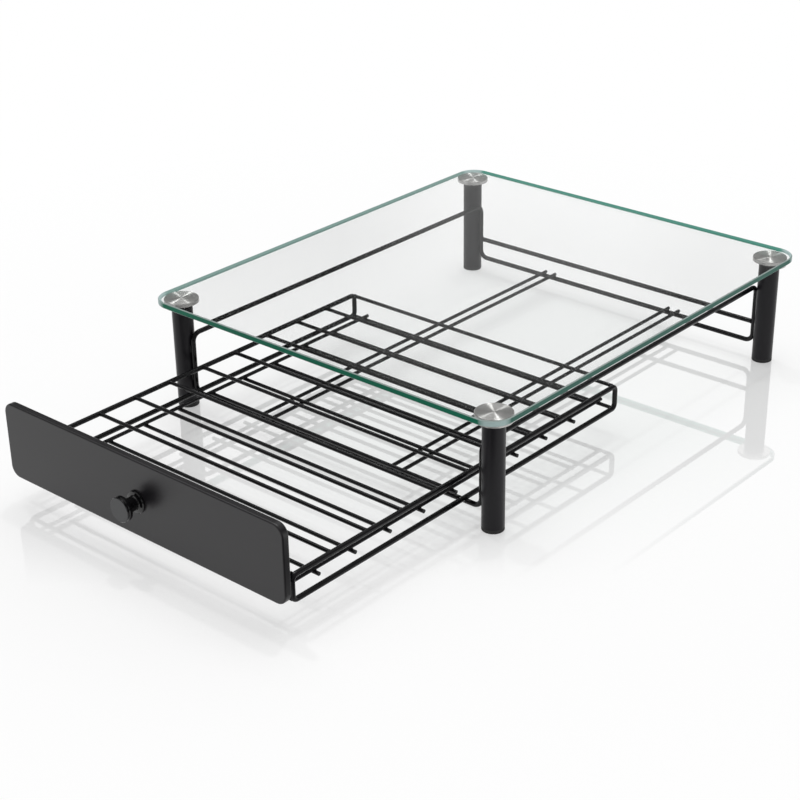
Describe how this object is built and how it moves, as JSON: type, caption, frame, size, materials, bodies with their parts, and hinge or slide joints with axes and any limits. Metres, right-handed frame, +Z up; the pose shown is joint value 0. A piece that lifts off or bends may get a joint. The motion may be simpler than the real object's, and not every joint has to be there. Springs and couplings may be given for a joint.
{
  "type": "coffee pod drawer",
  "caption": "Low glass shelf on tube legs with a sliding wire basket drawer below, a black front with a round knob, for storing coffee capsules under a machine.",
  "frame": {"origin": "on the floor, in the middle of the bounding box with the drawer pulled out", "axes": "+X to the right seen from the front, +Y from the drawer front to the rear, +Z up"},
  "size_m": [0.351, 0.5954, 0.0955],
  "materials": {
    "glass": "clear tempered float glass, polished, green at the edges",
    "disc": "turned stainless steel with fine rings",
    "leg": "satin black powder coat on steel tube",
    "foot": "matt black rubber",
    "wire": "gloss black powder coat on steel wire",
    "panel": "fibreboard in smooth satin black paint",
    "knob": "gloss black with a satin face",
    "screws": "plain zinc plated steel"
  },
  "bodies": {
    "stand": {"glass_top": "glass", "disc_front_left": "disc", "leg_front_left": "leg", "foot_front_left": "foot", "disc_front_right": "disc", "leg_front_right": "leg", "foot_front_right": "foot", "disc_rear_left": "disc", "leg_rear_left": "leg", "foot_rear_left": "foot", "disc_rear_right": "disc", "leg_rear_right": "leg", "foot_rear_right": "foot", "leg_screws": "screws", "side_frame_left": "wire", "side_frame_right": "wire", "front_cross_wire": "wire", "rear_cross_wire": "wire", "rear_stop_wire": "wire", "guide_wire_inner_left": "wire", "guide_wire_inner_right": "wire", "guide_wire_outer_left": "wire", "guide_wire_outer_right": "wire"},
    "drawer": {"drawer_front": "panel", "knob": "knob", "knob_screw": "screws", "panel_tab_left": "wire", "panel_tab_right": "wire", "panel_screws": "screws", "side_loop_left": "wire", "side_loop_right": "wire", "floor_rail_left": "wire", "floor_rail_right": "wire", "upper_wire_00": "wire", "upper_wire_01": "wire", "upper_wire_02": "wire", "upper_wire_03": "wire", "upper_wire_04": "wire", "upper_wire_05": "wire", "upper_wire_06": "wire", "upper_wire_07": "wire", "upper_wire_08": "wire", "upper_wire_09": "wire", "upper_wire_10": "wire", "lower_wire_00": "wire", "lower_wire_01": "wire", "lower_wire_02": "wire", "lower_wire_03": "wire", "lower_wire_04": "wire", "lower_wire_05": "wire", "lower_wire_06": "wire", "lower_wire_07": "wire", "lower_wire_08": "wire", "lower_wire_09": "wire", "lower_wire_10": "wire"}
  },
  "joints": [
    {"name": "drawer_slide", "type": "slide", "parent": "stand", "child": "drawer", "axis": [0, 1, 0], "range_m": [-0.14, 0.1855]}
  ]
}
